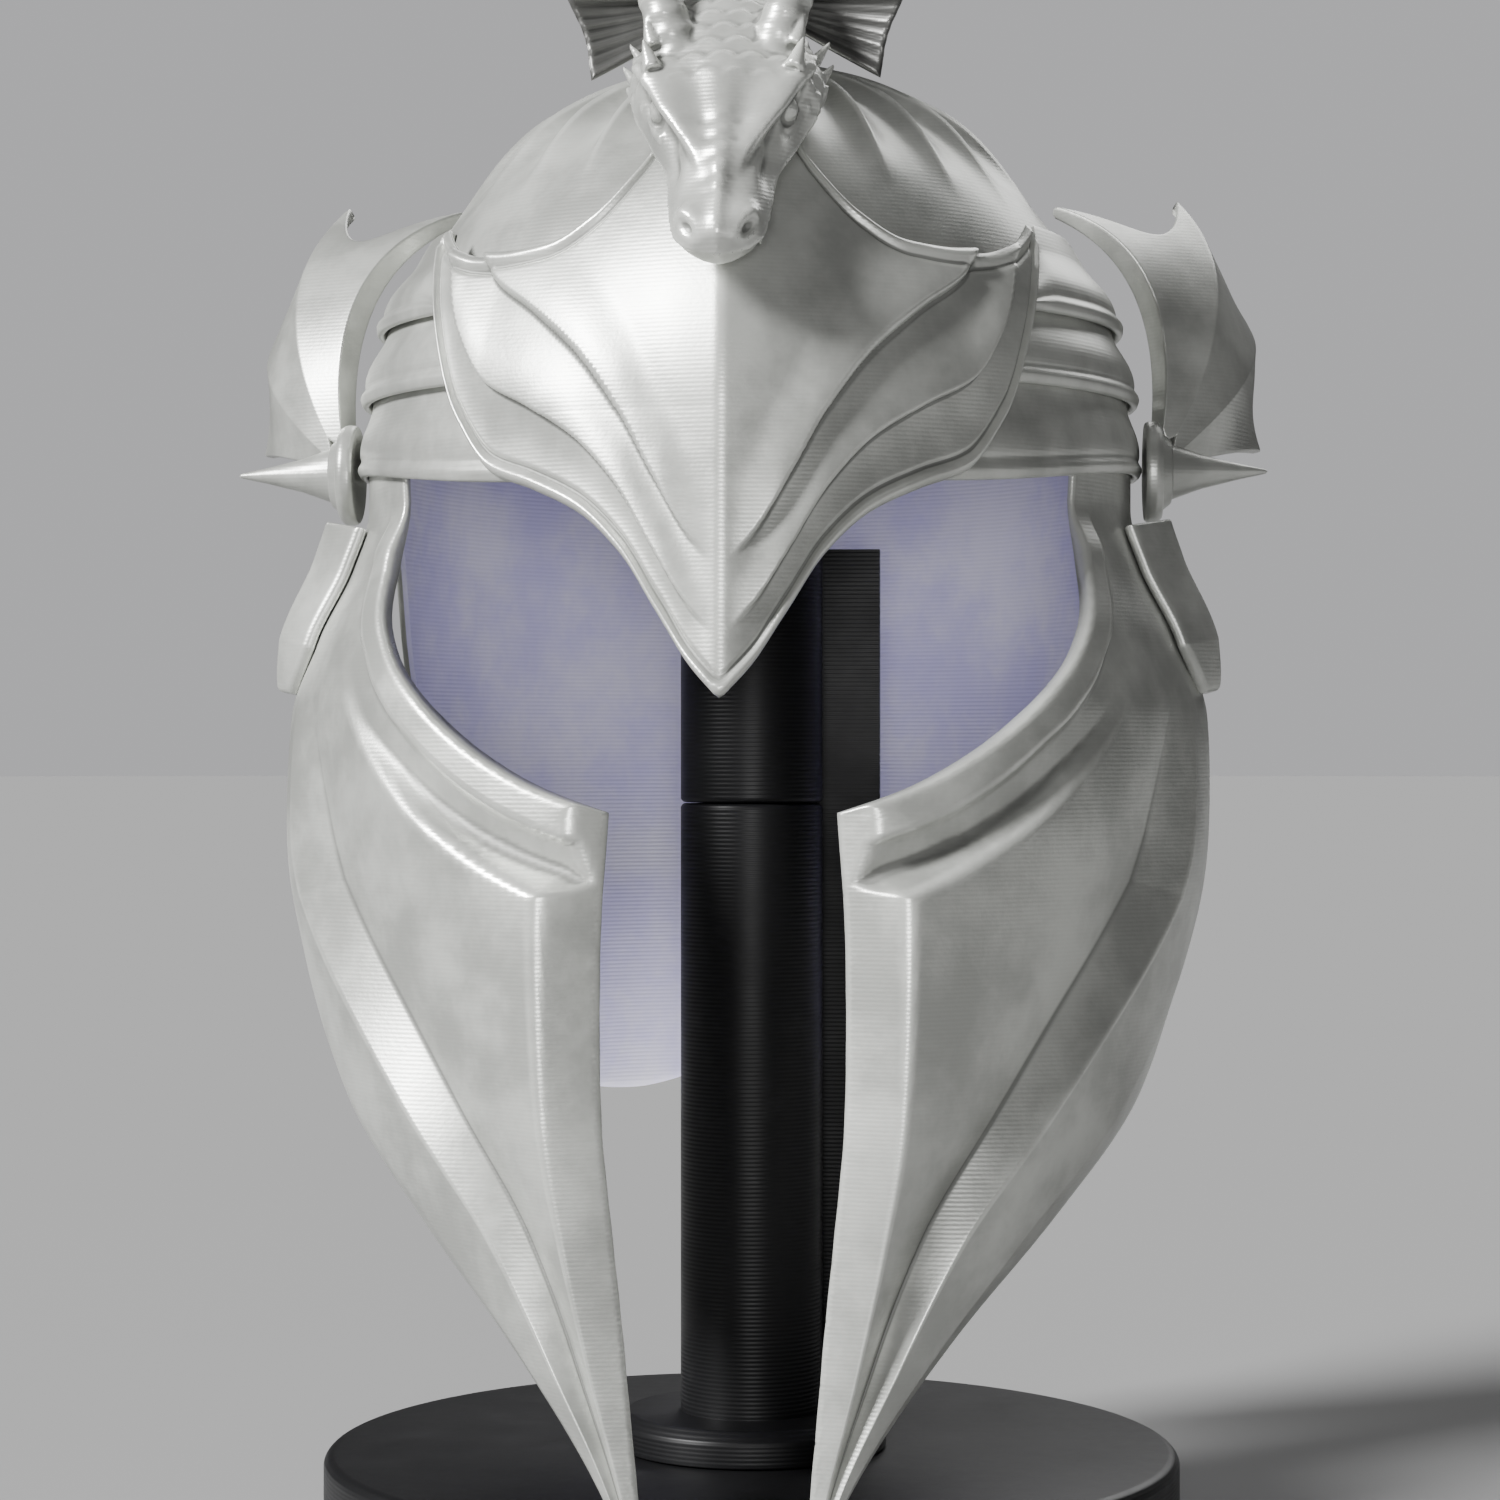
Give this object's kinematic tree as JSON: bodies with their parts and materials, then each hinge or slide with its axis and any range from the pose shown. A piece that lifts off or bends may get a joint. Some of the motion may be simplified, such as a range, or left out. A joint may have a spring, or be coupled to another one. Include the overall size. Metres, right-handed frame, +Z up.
{
  "type": "dragon helmet on display stand",
  "caption": "Open-faced helmet with keeled brow plate, nasal, lames, long cheek guards, temple wings and a horned dragon head crest, on a round post stand",
  "frame": {"origin": "centre of the stand base's underside, on the surface that it stands on", "axes": "+Z up the post, -Y the way the helmet faces, +X the viewer's right in the picture"},
  "size_m": [0.2986, 0.271, 0.465],
  "materials": {
    "silver_paint": "satin",
    "dark_silver": "satin",
    "black_plastic": "satin"
  },
  "bodies": {
    "root": {"skull_shell": "silver_paint", "brow_plate": "silver_paint", "lame_1_right": "silver_paint", "lame_1_left": "silver_paint", "lame_2_right": "silver_paint", "lame_2_left": "silver_paint", "lame_3_right": "silver_paint", "lame_3_left": "silver_paint", "cheek_guard_right": "silver_paint", "cheek_guard_left": "silver_paint", "wing_right": "silver_paint", "wing_left": "silver_paint", "boss_right": "silver_paint", "boss_left": "silver_paint", "spur_right": "silver_paint", "spur_left": "silver_paint", "dragon_head": "silver_paint", "neck_frill": "dark_silver", "crest_spine": "silver_paint", "stand_pad": "black_plastic", "stand_base": "black_plastic", "stand_collar": "black_plastic", "stand_post_lower": "black_plastic", "stand_post_upper": "black_plastic", "stand_rail": "black_plastic"}
  },
  "joints": []
}
